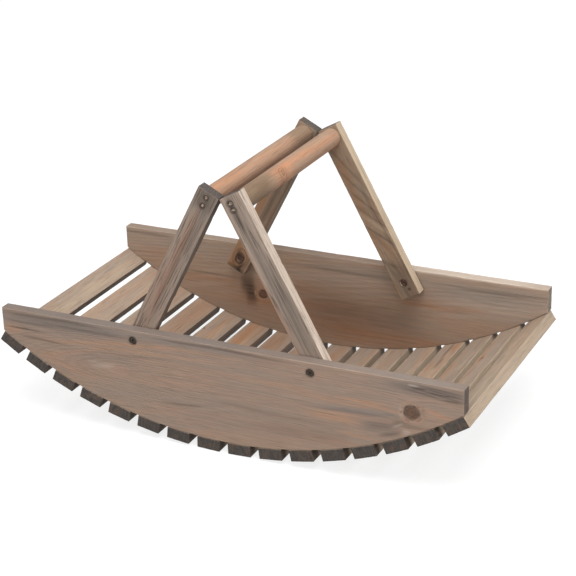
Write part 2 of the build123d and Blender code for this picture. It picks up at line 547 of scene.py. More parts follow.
def surface_depth(points, rings, knots, growth):
    """How far the weathered surface lies under the planed one."""
    ridge = 0.5 - 0.5 * np.cos(2 * pi * (rings + ridge_lead))
    fibre = noise(points, "fibre", growth.seed)
    wave = noise(points, "wave", growth.seed)
    sunk = growth.relief * (1 - ridge)
    sunk += fibre_depth * (1 + fibre) / 2 + wave_depth * (1 + wave) / 2
    groove = knot_groove_depth * np.exp(-((knots / knot_groove_width) ** 2))
    sunk += groove + knot_sink_depth * smooth_step(-knots, 0, knot_sink_reach)
    return sunk


def face_grid(plan, columns, rows, face, growth):
    """One face's grid, drawn along its checks, and how deep in a check each point lies, from 0 to
    1."""
    a, b = plan.place(columns, rows)
    crack = np.zeros(a.shape)
    free = smooth_step(plan.inside(a, b), 0, wiggle_margin)
    along = np.column_stack([columns, np.zeros((len(columns), 2))])
    for number, check in enumerate(growth.checks):
        wiggle = check_wiggle * noise(along, "check", growth.seed + number)
        b += wiggle * np.exp(-(((rows - check.b) / wiggle_width) ** 2))[:, None] * free
        if check.face == face:
            share = np.clip((a - check.start) / (check.stop - check.start), 0, 1)
            across = np.clip(1 - abs(rows - check.b) / check.width, 0, 1)
            crack = np.maximum(crack, across[:, None] * np.sin(pi * share) ** check_taper)
            crack[abs(crack) < 1e-6] = 0
    return a, b, crack


def make_face(plan, columns, rows, face, half, growth, holes, spots):
    """One face of a sawn piece: its points, how deep in a check they lie, and a mark on those that
    a hole takes. Each hole's spot is its (row, column) in the grid."""
    side = 1 - 2 * face
    a, b, crack = face_grid(plan, columns, rows, face, growth)
    depth = np.zeros(a.shape)
    marks = np.zeros(a.shape)
    for number, (hole, spot) in enumerate(zip(holes, spots)):
        if hole.rings[face]:
            sink_hole(a, b, depth, marks, hole, hole.rings[face], spot, growth.seed + number)
    a, b, crack, marks = a.ravel(), b.ravel(), crack.ravel(), marks.ravel()
    planed = np.column_stack([a, b, np.full(len(a), side * half)])
    radius = worn_radius(planed, growth.seed + 3 * face)
    short = np.clip(radius - np.clip(plan.inside(a, b), 0, None), 0, None)
    rounded = radius - np.sqrt(radius**2 - short**2)
    check_depth = max([check.depth for check in growth.checks] or [0])
    sunk = depth.ravel() + rounded + check_depth * crack * (1 - marks)
    return np.column_stack([a, b, side * (half - sunk)]), crack, marks


def wall_loops(numbers, holes, spots):
    """The rows of vertex numbers that walls start from, each with whether it runs round a bore."""
    outline = [numbers[0, :-1], numbers[:-1, -1], numbers[-1, :0:-1], numbers[:0:-1, 0]]
    loops = [(np.concatenate(outline), False)]
    for hole, (row, column) in zip(holes, spots):
        if hole.through:
            ring = [numbers[row + across, column + along]
                    for along, across in square_ring(hole.through)]
            loops.append((np.array(ring), True))
    return loops


def make_walls(faces, loops, layers):
    """The points and quads of the walls between the two faces, numbered after both faces."""
    count = len(faces[0])
    following = 2 * count
    points = []
    quads = []
    for loop, inward in loops:
        previous = loop
        for layer in range(1, layers + 1):
            current = loop + count
            if layer < layers:
                share = layer / layers
                points.append(faces[0][loop] * (1 - share) + faces[1][loop] * share)
                current = following + np.arange(len(loop))
                following += len(loop)
            strip = quads_between(previous, current)
            quads.append(strip[:, ::-1] if inward else strip)
            previous = current
    return points, quads


def flat_timber(plan, columns, rows, thickness, growth, holes=()):
    """The mesh of a sawn piece: points, quads and what its material reads at each point."""
    half = thickness / 2
    numbers = np.arange(len(rows) * len(columns)).reshape(len(rows), len(columns))
    spots = [(int(abs(rows - hole.b).argmin()), int(abs(columns - hole.a).argmin()))
             for hole in holes]
    made = [make_face(plan, columns, rows, face, half, growth, holes, spots) for face in (0, 1)]
    faces, cracks, marks = zip(*made)

    corners = [numbers[:-1, :-1], numbers[:-1, 1:], numbers[1:, 1:], numbers[1:, :-1]]
    cells = np.stack(corners, axis=-1)
    solid = np.ones(cells.shape[:2], bool)
    for hole, (row, column) in zip(holes, spots):
        size = hole.through
        solid[row - size : row + size, column - size : column + size] = False
    cells = cells[solid]
    layers = max(2, round((thickness - 2 * arris_radius) / through_step))
    wall_points, wall_quads = make_walls(faces, wall_loops(numbers, holes, spots), layers)
    points = np.concatenate([*faces, *wall_points])
    quads = np.concatenate([cells, cells[:, ::-1] + numbers.size, *wall_quads])

    on_walls = np.zeros(len(points) - 2 * numbers.size)
    crack = np.concatenate([*cracks, on_walls])
    marks = np.concatenate([*marks, on_walls])
    used = np.unique(quads)
    renumber = np.zeros(len(points), np.int64)
    renumber[used] = np.arange(len(used))
    points, crack, marks = points[used], crack[used], marks[used]
    to_arris = np.where(
        abs(points[:, 2]) > half - arris_radius * face_zone_share,
        plan.inside(points[:, 0], points[:, 1]),
        half - abs(points[:, 2]),
    )
    return weathered(points, renumber[quads], crack, marks, to_arris, growth, holes)


def weathered(points, quads, crack, marks, to_arris, growth, holes=()):
    """Sink the grain, and work out what the material reads."""
    normals = vertex_normals(points, quads)
    rings = ring_number(points, growth)
    knots = knot_distance(points, growth)
    sunk = surface_depth(points, rings, knots, growth) * (1 - marks)
    stain = stains_and_light(points, normals, growth)
    # Points deep in a check are darkened: painted shade in the crack
    dark = np.maximum(stain[:, dark_channel], crack)
    # A dark ring round each hole's rim: dirt, and painted shade in the recess
    for hole in holes:
        away = np.hypot(points[:, 0] - hole.a, points[:, 1] - hole.b)
        rim = (hole.rings[0] or hole.rings[1])[-1][0]
        dark = np.maximum(dark, hole.dirt * np.exp(-(((away - rim) / hole.dirt_and_shade_reach) ** 2)))
    # Points that a hole takes are darkened: painted shade in the hole, with some dirt
    stain[:, dark_channel] = np.maximum(dark, hole_dirt_and_shade_share * marks)
    values = {
        "ring": rings,
        "knot": knots,
        "arris": to_arris,
        "end_face": smooth_step(abs(normals[:, 0]), *end_range),
        "grain_at": points + piece_stride * growth.seed * np.array([1, 0, 0]),
        "stain": stain,
    }
    return points - normals * sunk[:, None], quads, values


def round_timber(half_length, radius, growth):
    """The mesh of a turned rod: points, quads and what its material reads at each point."""
    arrises = with_arris_lines(-half_length, half_length)
    stations = lines_between(-half_length, half_length, rod_along_step, arrises)
    angle = np.linspace(0, 2 * pi, rod_facets, endpoint=False)
    a = np.repeat(stations, rod_facets)
    turned = np.column_stack([a, np.tile(np.cos(angle), len(stations)) * radius,
                              np.tile(np.sin(angle), len(stations)) * radius])
    from_end = np.clip(half_length - abs(a), 0, arris_radius)
    rounded = arris_radius - np.sqrt(arris_radius**2 - (arris_radius - from_end) ** 2)
    worn = rod_wear_depth * (1 + noise(turned, "rod_wear", growth.seed))
    points = turned.copy()
    points[:, 1:] *= ((radius - worn - rounded) / radius)[:, None]
    numbers = np.arange(len(a)).reshape(len(stations), rod_facets)
    quads = [quads_between(numbers[row + 1], numbers[row]) for row in range(len(stations) - 1)]
    parts = [points]
    count = len(points)
    for row, turn in ((0, -1), (len(stations) - 1, 1)):
        previous = numbers[row]
        for share in rod_cap_shares:
            parts.append(points[numbers[row]] * [1, share, share])
            current = count + np.arange(rod_facets)
            count += rod_facets
            quads.append(quads_between(previous, current)[:, ::turn])
            previous = current
        parts.append(np.array([[stations[row], 0, 0]]))
        quads.append(quads_between(previous, np.full(rod_facets, count))[:, ::turn])
        count += 1
    points = np.concatenate(parts)
    none = np.zeros(len(points))
    to_arris = np.full(len(points), rod_to_arris)
    return weathered(points, np.concatenate(quads), none, none, to_arris, growth)


# How a mesh stores values with one, three or four parts
attribute_kinds = {
    1: ("FLOAT", "value"), 3: ("FLOAT_VECTOR", "vector"), 4: ("FLOAT_COLOR", "color"),
}


def mesh_object(name, points, quads, values, origin, axes):
    """A Blender object of the points, turned from the piece's own axes to the frame's."""
    axes = np.array(axes, float)
    placed = (np.array(origin, float) + points @ axes) * millimetre
    if np.linalg.det(axes) < 0:
        quads = quads[:, ::-1]
    polygons = [tuple(dict.fromkeys(quad)) for quad in quads.tolist()]
    mesh = bpy.data.meshes.new(name)
    mesh.from_pydata(placed.tolist(), [], polygons)
    for key, value in values.items():
        kind, field = attribute_kinds[value.size // len(value)]
        attribute = mesh.attributes.new(key, kind, "POINT")
        attribute.data.foreach_set(field, value.astype(np.float32).ravel())
    mesh.shade_smooth()
    mesh.set_sharp_from_angle(angle=radians(sharp_angle))
    mesh.update()
    piece = bpy.data.objects.new(name, mesh)
    bpy.context.scene.collection.objects.link(piece)
    return piece


# Materials


def linear(colour):
    """A colour given as a screen shows it, in the renderer's linear scale."""
    shares = [channel / 255 for channel in colour]
    return tuple(
        share / 12.92 if share <= 0.04045 else ((share + 0.055) / 1.055) ** 2.4 for share in shares
    ) + (1.0,)


class Graph:
    """One material's nodes."""

    def __init__(self, name):
        self.material = bpy.data.materials.new(name)
        self.material.use_nodes = True
        self.nodes = self.material.node_tree.nodes
        self.links = self.material.node_tree.links
        self.nodes.clear()

    def node(self, kind, inputs=(), **settings):
        """A new node: settings are its properties, and inputs pairs of a socket and its value."""
        made = self.nodes.new(kind)
        for key, value in settings.items():
            setattr(made, key, value)
        for socket, value in inputs:
            if isinstance(value, bpy.types.NodeSocket):
                self.links.new(value, made.inputs[socket])
            else:
                made.inputs[socket].default_value = value
        return made

    def read(self, name, output="Fac"):
        """What the mesh stores under that name."""
        return self.node("ShaderNodeAttribute", attribute_name=name).outputs[output]

    def math(self, operation, first, second=0.0, third=0.0, clamp=False):
        """A sum with one to three numbers."""
        inputs = [(0, first), (1, second), (2, third)]
        made = self.node("ShaderNodeMath", inputs, operation=operation, use_clamp=clamp)
        return made.outputs[0]

    def times(self, first, second, clamp=False):
        """The product of two numbers."""
        return self.math("MULTIPLY", first, second, clamp=clamp)

    def times_plus(self, first, second, third):
        """The product of two numbers, and a third one added."""
        return self.math("MULTIPLY_ADD", first, second, third)

    def scaled(self, vector, scale):
        """A vector with each part multiplied."""
        made = self.node("ShaderNodeVectorMath", [(0, vector), (1, scale)], operation="MULTIPLY")
        return made.outputs[0]

    def noise(self, vector, detail=3.0, rough=0.55, distortion=0.0):
        """Noise from 0 to 1, about one bump to each unit of the vector."""
        inputs = [("Vector", vector), ("Scale", 1.0), ("Detail", detail), ("Roughness", rough),
                  ("Distortion", distortion)]
        return self.node("ShaderNodeTexNoise", inputs).outputs["Fac"]

    def random(self, number):
        """A random number from 0 to 1 for each whole number."""
        made = self.node("ShaderNodeTexWhiteNoise", [("W", number)], noise_dimensions="1D")
        return made.outputs["Value"]

    def ramp(self, value, stops):
        """A number that follows the stops, which are (position, number)."""
        made = self.node("ShaderNodeValToRGB", [(0, value)])
        elements = made.color_ramp.elements
        while len(elements) < len(stops):
            elements.new(0.5)
        for element, (position, shade) in zip(elements, stops):
            element.position = position
            element.color = (shade, shade, shade, 1)
        return made.outputs[0]

    def rise(self, value, low, high):
        """0 at low, 1 at high and a smooth rise between them. High may be the smaller one."""
        inputs = [("Value", value), ("From Min", low), ("From Max", high)]
        made = self.node("ShaderNodeMapRange", inputs, interpolation_type="SMOOTHSTEP")
        return made.outputs[0]

    def near(self, value, middle, outer, inner):
        """1 within inner of the middle and 0 beyond outer of it."""
        return self.rise(self.math("ABSOLUTE", self.math("SUBTRACT", value, middle)), outer, inner)

    def mix(self, share, first, second, blend="MIX"):
        """A colour between two others."""
        made = self.node("ShaderNodeMix", [(0, share), (6, first), (7, second)],
                         data_type="RGBA", blend_type=blend)
        return made.outputs[2]

    def tint(self, colour, mask, strength, tone, clamp=False):
        """The colour with a tone over it, as strongly as the mask times the strength."""
        return self.mix(self.times(mask, strength, clamp), colour, tone)

    def finish(self, colour, rough, height, height_distance, metallic=0.0, specular=0.35):
        """The shader, with its relief, and the material's output."""
        bump = self.node("ShaderNodeBump", [("Strength", 1.0), ("Distance", height_distance),
                                            ("Height", height)])
        shader = self.node("ShaderNodeBsdfPrincipled", [
            ("Base Color", colour), ("Roughness", rough), ("Metallic", metallic),
            ("Specular IOR Level", specular), ("Normal", bump.outputs[0])])
        self.node("ShaderNodeOutputMaterial", [("Surface", shader.outputs[0])])
        return self.material


finish_colours = (
    "early", "late", "warm", "grey", "orange", "dark", "pale", "knot", "end", "end_dark",
)


@dataclass
class Finish:
    """The colours of one kind of timber, given as a screen shows them, and how strongly each mark
    shows."""
    early: tuple
    late: tuple
    warm: tuple
    grey: tuple
    orange: tuple
    dark: tuple
    pale: tuple
    knot: tuple = (104, 78, 64)
    end: tuple = (92, 84, 79)
    end_dark: tuple = (52, 46, 43)
    ring_share: float = 0.5
    warm_share: float = 0.45
    grey_share: float = 0.4
    line_share: float = 0.25
    line_size: tuple = (0.03, 0.8, 0.8)
    fibre_share: float = 0.5
    piece_share: float = 0.0
    rub_share: float = 0.3

    def __post_init__(self):
        for name in finish_colours:
            setattr(self, name, linear(getattr(self, name)))


# The grain's noises: bumps to the millimetre on each axis, detail, roughness and distortion
grain_noises = {
    "fine": ((0.06, 1.3, 1.3), 4.0, 0.65, 0.0),
    "fibre": ((0.028, 0.6, 0.6), 4.0, 0.7, 0.0),
    "streak": ((0.011, 0.28, 0.28), 4.0, 0.6, 0.0),
    "patch": ((0.009, 0.06, 0.06), 3.0, 0.55, 0.3),
    "lump": ((0.35, 0.35, 0.35), 3.0, 0.55, 0.0),
    "blot": ((0.1, 0.16, 0.16), 2.0, 0.55, 0.0),
    "saw": ((0.3, 0.9, 0.16), 4.0, 0.65, 0.0),
}
line_noise = (3.0, 0.5, 0.2)

# How dark the wood is through one year's ring, from its start at 0 to its end at 1
year_stops = ((0.0, 0.05), (0.4, 0.1), (0.8, 0.75), (0.9, 1.0), (1.0, 0.05))

# How far a material's bumps stand out, in metres, and how many the metal's noises have to a metre
wood_relief = 0.00025
metal_relief = 0.00006
grime_scale = 900.0
speck_scale = 3500.0


def ring_colour(g, grain, finish):
    """Pale early wood and dark late wood, with some years warmer, and how late each place is."""
    ring = g.times_plus(grain.streak, 0.7, g.read("ring"))
    ring = g.times_plus(grain.fibre, 0.35, ring)
    year = g.math("FLOOR", ring)
    chosen = g.times(g.math("POWER", g.random(year), 2.0), g.rise(grain.fibre, 0.3, 0.65))
    late = g.times(g.ramp(g.math("FRACT", ring), year_stops), g.times_plus(chosen, 0.9, 0.12))
    colour = g.tint(finish.early, late, finish.ring_share, finish.late)
    other_luck = g.random(g.math("ADD", year, 0.37))
    warm = g.times(g.rise(other_luck, 0.35, 0.95), g.rise(grain.streak, 0.35, 0.6))
    warm = g.times_plus(g.rise(grain.patch, 0.52, 0.36), 0.5, warm)
    return g.tint(colour, warm, finish.warm_share, finish.warm, clamp=True), late


def weather_colour(g, grain, finish, colour):
    """Grey where the weather got in, and the stains and painted shade and light the mesh stores."""
    weather = g.times_plus(grain.streak, 0.35, g.times(grain.patch, 0.65))
    weather = g.times_plus(grain.piece, finish.piece_share, weather)
    colour = g.tint(colour, g.rise(weather, 0.44, 0.62), finish.grey_share, finish.grey)
    stain = g.node("ShaderNodeAttribute", attribute_name="stain")
    split = g.node("ShaderNodeSeparateColor", [(0, stain.outputs["Color"])])
    masks = [*split.outputs[:3], stain.outputs["Alpha"]]
    broken = g.times_plus(g.math("ADD", grain.streak, grain.fibre), 0.9, 0.1)
    for kind, mask in zip(stain_and_light_channels, masks):
        colour = g.tint(colour, mask, broken, getattr(finish, kind), clamp=True)
    return colour


def fibre_colour(g, grain, finish, colour):
    """Fibres and patches that are lighter and darker."""
    shade = g.times_plus(grain.fine, 0.3, g.times(grain.fibre, 0.45))
    shade = g.times_plus(grain.streak, 0.1, shade)
    shade = g.times_plus(grain.patch, 0.15, shade)
    shade = g.times_plus(shade, 2 * finish.fibre_share, 1 - finish.fibre_share)
    shade = g.times_plus(grain.piece, -finish.piece_share, shade)
    grey = g.node("ShaderNodeCombineColor", [(channel, shade) for channel in range(3)])
    return g.mix(1.0, colour, grey.outputs[0], "MULTIPLY")


def knot_colour(g, grain, finish, colour):
    """A knot's brown heart and dark edge, in a collar and a halo that blots break up."""
    knot = g.times_plus(grain.lump, 0.9, g.math("ADD", g.read("knot"), -0.45))
    halo = g.near(knot, 3.2, 3.2, 0.4)
    colour = g.tint(colour, halo, g.rise(grain.blot, 0.4, 0.6), finish.warm)
    collar_tone = g.mix(g.rise(grain.blot, 0.5, 0.56), finish.warm, finish.knot)
    colour = g.tint(colour, g.near(knot, 2.4, 2.2, 0.2), 0.4, collar_tone)
    heart_share = g.times(g.rise(grain.lump, 0.3, 0.7), 0.6)
    heart_share = g.times_plus(g.math("SINE", g.times(knot, 2.2)), 0.18, heart_share)
    heart_tone = g.mix(heart_share, finish.knot, finish.late)
    colour = g.tint(colour, g.rise(knot, 1.6, -1.6), 0.95, heart_tone)
    edge = g.times(g.near(knot, -0.4, 1.7, 0.2), g.rise(grain.blot, 0.62, 0.4))
    return g.tint(colour, edge, 0.75, finish.dark)


def end_colour(g, grain, finish, late):
    """Sawn end grain, with dirt in the saw's marks and blots on some pieces."""
    dirt = g.times_plus(late, 0.35, g.rise(grain.saw, 0.36, 0.64))
    colour = g.tint(finish.end, dirt, 0.75, finish.end_dark, clamp=True)
    blotted = g.times(g.rise(grain.blot, 0.42, 0.72), g.rise(grain.piece, 0.15, 0.8))
    return g.tint(colour, blotted, 0.45, finish.knot)


def timber_material(name, finish):
    """Weathered pine: growth rings, fibres, stains, painted shade, knots, dark ends, rubbed
    arrises.
    """
    g = Graph(name)
    at = g.read("grain_at", "Vector")
    grain = SimpleNamespace()
    for kind, (size, *rest) in {**grain_noises, "line": (finish.line_size, *line_noise)}.items():
        setattr(grain, kind, g.noise(g.scaled(at, size), *rest))
    along = g.node("ShaderNodeSeparateXYZ", [(0, at)]).outputs[0]
    grain.piece = g.random(g.math("ROUND", g.times(along, 1 / piece_stride)))

    colour, late = ring_colour(g, grain, finish)
    colour = weather_colour(g, grain, finish, colour)
    colour = fibre_colour(g, grain, finish, colour)
    crack = g.times(g.rise(grain.line, 0.54, 0.66), finish.line_share)
    colour = g.mix(crack, colour, finish.dark)
    colour = knot_colour(g, grain, finish, colour)
    end_face = g.read("end_face")
    colour = g.tint(colour, end_face, 0.96, end_colour(g, grain, finish, late))
    rubbed = g.times(g.rise(g.read("arris"), *rub_range), g.rise(grain.fibre, 0.35, 0.65))
    rubbed = g.times(rubbed, g.math("SUBTRACT", 1.0, end_face))
    colour = g.tint(colour, rubbed, finish.rub_share, finish.pale)

    height = g.times_plus(late, 0.5, g.times(grain.fine, 0.8))
    height = g.times_plus(crack, -1.2, height)
    height = g.times_plus(g.times(grain.saw, end_face), 0.8, height)
    rough = g.times_plus(grain.fine, 0.2, 0.65)
    return g.finish(colour, rough, height, wood_relief)


def metal_material(name, bare, dirt, rust_share, metallic=0.5):
    """Dull plated steel with dirt and rust in it."""
    g = Graph(name)
    at = g.node("ShaderNodeTexCoord").outputs["Object"]
    grime = g.noise(g.scaled(at, (grime_scale,) * 3), detail=4.0, rough=0.6)
    speck = g.noise(g.scaled(at, (speck_scale,) * 3), detail=3.0, rough=0.6)
    dirty = g.rise(g.times_plus(speck, 0.35, grime), 0.9 - 0.5 * rust_share, 0.8)
    colour = g.mix(dirty, linear(bare), linear(dirt))
    rough = g.times_plus(speck, 0.3, 0.42)
    height = g.times_plus(dirty, 0.7, speck)
    return g.finish(colour, rough, height, metal_relief, metallic=metallic, specular=0.4)


board_finish = Finish(
    early=(151, 129, 112), late=(112, 89, 75), warm=(164, 131, 110), grey=(132, 119, 110),
    orange=(172, 131, 103), dark=(72, 59, 52), pale=(186, 172, 160), knot=(86, 61, 46),
    end=(104, 92, 82), end_dark=(76, 66, 59), ring_share=0.5, warm_share=0.5, grey_share=0.4,
    line_share=0.22, line_size=(0.04, 1.4, 1.4), fibre_share=0.6, rub_share=0.18,
)
back_board_finish = Finish(
    early=(155, 132, 113), late=(108, 85, 68), warm=(156, 121, 96), grey=(136, 123, 112),
    orange=(150, 107, 78), dark=(58, 45, 36), pale=(206, 190, 174), knot=(92, 60, 44),
    end=(148, 134, 120), end_dark=(112, 98, 86), ring_share=0.4, line_share=0.18,
    line_size=(0.03, 1.3, 1.3), fibre_share=0.45,
)
slat_finish = Finish(
    early=(172, 149, 129), late=(134, 106, 86), warm=(182, 142, 112), grey=(152, 138, 126),
    orange=(172, 122, 84), dark=(66, 52, 42), pale=(190, 170, 146), end=(70, 65, 61),
    end_dark=(36, 32, 30), ring_share=0.55, piece_share=0.12,
)
front_leg_finish = Finish(
    early=(150, 133, 119), late=(104, 88, 77), warm=(152, 122, 103), grey=(134, 121, 110),
    orange=(146, 108, 88), dark=(64, 53, 45), pale=(200, 182, 166), end=(94, 89, 85),
    end_dark=(56, 52, 50), ring_share=0.5, grey_share=0.4, line_share=0.65,
    line_size=(0.03, 1.1, 1.1), fibre_share=0.5,
)
back_leg_finish = Finish(
    early=(146, 125, 105), late=(98, 78, 61), warm=(150, 113, 84), grey=(130, 114, 98),
    orange=(138, 96, 62), dark=(54, 42, 33), pale=(200, 180, 154), end=(96, 90, 84),
    end_dark=(58, 52, 48), ring_share=0.6, grey_share=0.3, line_share=0.2, fibre_share=0.5,
)
rod_finish = Finish(
    early=(172, 141, 118), late=(134, 94, 70), warm=(182, 136, 104), grey=(130, 109, 87),
    orange=(190, 134, 98), dark=(96, 66, 46), pale=(202, 180, 158), end=(120, 104, 90),
    ring_share=0.75, grey_share=0.25, line_share=0.25, fibre_share=0.5,
)


# Pieces. Strokes, knots and checks are placed after the real wood; a few strokes are painted shade
# and painted light.


def node_box(node):
    """The lowest and highest corner of one of the frame's nodes, in millimetres."""
    return [np.array(corner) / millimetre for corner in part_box(node)]


def add_piece(node, body, made, origin, axes, material):
    """Put a finished mesh in the place of the frame's node of the same name."""
    piece = mesh_object(f"{node}_timber", *made, origin, axes)
    piece.data.materials.append(material)
    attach(piece, body)
    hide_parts(node)


board_low, board_high = node_box("front_board")
board_top = board_high[2]
board_height = board_high[2] - board_low[2]
board_thickness = board_high[1] - board_low[1]
board_half_length = board_high[0]
board_middle = -(board_low[1] + board_high[1]) / 2
bow = BowPlan(board_half_length, board_height, board_end_height)
bow_centre_height = board_top + bow.centre
pivots = {joint["child"]: np.array(joint["pos_m"]) / millimetre for joint in frame["joints"]}
pivot_spread = pivots["right_handle"][0]
pivot_drop = board_top - pivots["right_handle"][2]
recess_rim = ((recess_radius, recess_bevel), (recess_radius + recess_bevel, 0.0))

front_growth = Growth(
    pith=(-49.5, 3.0), dive_from=0.0, dive=0.00045, spacing=2.4, wobble=1.8, seed=3,
    knots=(Knot(210.6, -34.3, 7.8, 4.0),),
    strokes=strokes_of(
        grey=(
            (-200, -8, 75, 8, 0.95), (-60, -6, 120, 6, 0.7), (-140, -38, 46, 5, 0.5, 0.06),
            (20, -84, 70, 6, 0.4), (155, -43.5, 50, 3.4, 0.9, 0.06), (176, -56, 22, 8, 0.6),
            (226, -8.5, 46, 6, 1.0),
        ),
        dark=(
            (-205, -3.5, 60, 2.0, 0.5), (-190, -9, 70, 7, 0.12), (-150, -10, 60, 1.6, 0.35),
            (-230, -13, 34, 1.2, 0.4), (0, -3.6, 70, 1.5, 0.6), (-236, -21, 20, 1.2, 0.6),
            (-216, -30, 26, 1.3, 0.55), (-110, -31, 46, 1.3, 0.25, 0.05),
            (60, -66, 60, 2.2, 0.25, -0.03), (96, -80, 50, 6, 0.22),
            (-46, -75, 24, 1.5, 0.45, 0.08), (150, -46, 40, 1.4, 0.3, 0.05),
            (178, -55, 18, 5, 0.3, 0.15), (188, -62, 12, 2.4, 0.45, 0.3),
            (200, -47, 9, 3.0, 0.4, 0.2), (214, -50, 14, 2.0, 0.35), (221.5, -33, 2.6, 7, 0.35),
            (228, -8.5, 42, 5.5, 0.28), (244, -8, 22, 0.7, 0.5, -0.1),
            (240, -5, 22, 0.7, 0.5, -0.06), (246, -11.5, 20, 0.7, 0.5, -0.1),
            (252, -14.6, 9, 1.0, 0.6), (222, -12, 18, 0.8, 0.5, -0.1), (218, -7.6, 7, 0.9, 0.7),
        ),
        orange=(
            (-252, -23, 12, 5, 0.5), (-168, -24.5, 46, 2.0, 0.45, 0.125),
            (-92, -16.5, 40, 1.8, 0.5, 0.09), (-25, -12.5, 50, 1.6, 0.45),
            (-60, -23, 80, 2.2, 0.4, 0.05), (-172, -36, 42, 1.8, 0.4, 0.24),
            (-182, -58, 34, 1.8, 0.35, -0.22), (-207, -48.5, 9, 3.5, 0.35),
            (45, -31, 70, 3.0, 0.35), (158, -32, 28, 1.5, 0.7), (128, -37, 40, 1.6, 0.6, -0.03),
            (178, -36, 24, 1.5, 0.6, -0.08), (126, -57, 26, 4.5, 0.6), (151, -71.5, 20, 1.6, 0.6),
            (180, -75, 10, 3, 0.4), (237, -31.5, 14, 2.2, 0.75, -0.25),
        ),
        pale=(
            (-142, -48, 16, 4, 0.25), (205, -57, 4, 2.4, 0.5), (196, -51, 5, 1.2, 0.4, 0.5),
            # The last pale stroke is a painted highlight along the top edge at the right
            (199.5, -36, 2.0, 4.5, 0.5), (212, -5.2, 5, 0.8, 0.6), (200, 0, 75, 1.8, 0.12),
        ),
    ),
    checks=(
        Check(0, 215, 262, -9.4, width=0.25, depth=0.6),
        Check(0, 232, 264.9, -15.5, width=0.25, depth=0.6),
        Check(0, -264.9, -222, -21.0, width=0.25, depth=0.5),
    ),
    side_stain_and_light={"grey": 0.7, "dark": 0.17},
)
back_growth = Growth(
    pith=(-66.0, 52.0), drift=(0.02, -0.04), spacing=2.6, wobble=3.0, seed=11,
    knots=(Knot(-82.0, -60.0, 5.0, 2.5),),
    strokes=strokes_of(
        dark=(
            # The first two are a painted shadow on the inner face below the left back leg's foot
            (-102, -50, 9, 14, 0.7, 0, 1), (-97, -66, 7, 11, 0.55, 0, 1),
            (-84, -60, 12, 9, 0.2, 0, 1), (-236, -6, 30, 1.4, 0.4), (-150, -44, 36, 1.3, 0.4),
            # The wide stroke at 42 is partly the wood's own darker colour and partly painted shade
            # low in the middle
            (42, -64, 80, 26, 0.42, 0, 1), (30, -16, 70, 2.0, 0.3), (190, -12, 80, 1.0, 0.25),
            (215, -27, 40, 0.9, 0.2), (105, -24, 9, 5, 0.45, 0, 1), (205, -14, 40, 1.2, 0.35),
        ),
        orange=(
            (-86, -62, 22, 12, 0.4, 0, 1), (-160, -50, 45, 3, 0.5), (-205, -26, 40, 6, 0.35),
            (-20, -70, 110, 22, 0.5), (70, -92, 90, 12, 0.5), (130, -42, 40, 3, 0.5),
            (176, -38, 20, 2.4, 0.45),
        ),
        grey=((40, -12, 60, 6, 0.5), (-190, -14, 70, 10, 0.4), (190, -20, 75, 16, 0.9)),
        # The second pale stroke is a painted highlight along the top edge at the right
        pale=((205, -30, 60, 8, 0.15), (175, 0.5, 110, 2.4, 0.7)),
    ),
    checks=(Check(1, 190, 264.9, -11.0, width=0.25, depth=0.5),),
    side_stain_and_light={"grey": 0.3},
)


def bolt_hole(end):
    """A board's hole for one pivot bolt, with the recess of the bolt's head."""
    outer = floor_rings((0, 1.0, bolt_hole_radius, 3.1, recess_radius), board_recess_depth)
    inner = floor_rings((0, 1.0, bolt_hole_radius), 0)
    return Hole(end * pivot_spread, -pivot_drop, (outer + recess_rim, inner), through=2, blend=3,
                ragged=0.012, dirt=0.35)


def make_board(side_name, side, growth, material):
    """One side board."""
    holes = [bolt_hole(end) for end in (-1, 1)]
    dense = [(hole.a, board_bore_reach, hole_step) for hole in holes]
    dense += [(knot.a, knot_reach_share * knot.radius, knot_step) for knot in growth.knots]
    half = board_half_length
    fixed = [*with_arris_lines(-half, half), *(hole.a for hole in holes)]
    columns = lines_between(-half, half, along_step, fixed, dense)
    lines = [-line for line in arris_lines] + [-pivot_drop] + check_lines(growth)
    rows = bow.rows(board_across_step, lines, [(-pivot_drop, bore_reach, hole_step)])
    made = flat_timber(bow, columns, rows, board_thickness, growth, holes)
    origin = (0, side * board_middle, board_top)
    axes = ((1, 0, 0), (0, 0, 1), (0, side, 0))
    add_piece(f"{side_name}_board", "basket", made, origin, axes, material)


# Battens, by index: the strokes and the knot that only some have
slat_strokes = {
    0: {"pale": [(0, 3, 130, 8, 0.35)]},
    2: {"orange": [(60, 0, 80, 9, 0.2)]},
    3: {"orange": [(60, 0, 80, 10, 0.4)], "dark": [(60, 0, 90, 12, 0.08)]},
    4: {"dark": [(71, -11, 1.6, 1.2, 1.0)], "orange": [(75, 2, 40, 4, 0.5)]},
    5: {"orange": [(80, -2, 60, 9, 0.7)], "pale": [(60, 3, 60, 3, 0.4)]},
    6: {"orange": [(90, 0, 40, 6, 0.5)]},
    8: {"orange": [(95, 4, 40, 6, 0.4)]},
    11: {"grey": [(80, -2, 60, 6, 0.5)]},
    12: {
        "orange": [(112, 6, 12, 4, 0.7), (62, -6, 14, 1.8, 0.6)],
        "dark": [(108, 0, 20, 1.4, 0.6), (70, 3, 14, 2.4, 0.5)],
        "grey": [(92, -4, 22, 5, 0.6)],
    },
    13: {
        "orange": [(40, -9, 16, 1.6, 0.6)], "grey": [(85, 2, 45, 6, 0.6)],
        "pale": [(60, 6, 30, 2, 0.4)],
    },
    14: {"dark": [(49, -6.5, 8, 1.8, 0.6)], "grey": [(40, 3, 60, 6, 0.6)]},
    15: {
        "pale": [(0, 2, 135, 10, 0.6)], "orange": [(60, 4, 30, 3, 0.35)],
        "dark": [(118, -8, 12, 1.6, 0.4)],
    },
}
slat_knots = {14: (Knot(49.5, -6.5, 1.7, 1.6, long_share=4.5),)}
slat_luck_seed = 100
slat_grain_seed = 200

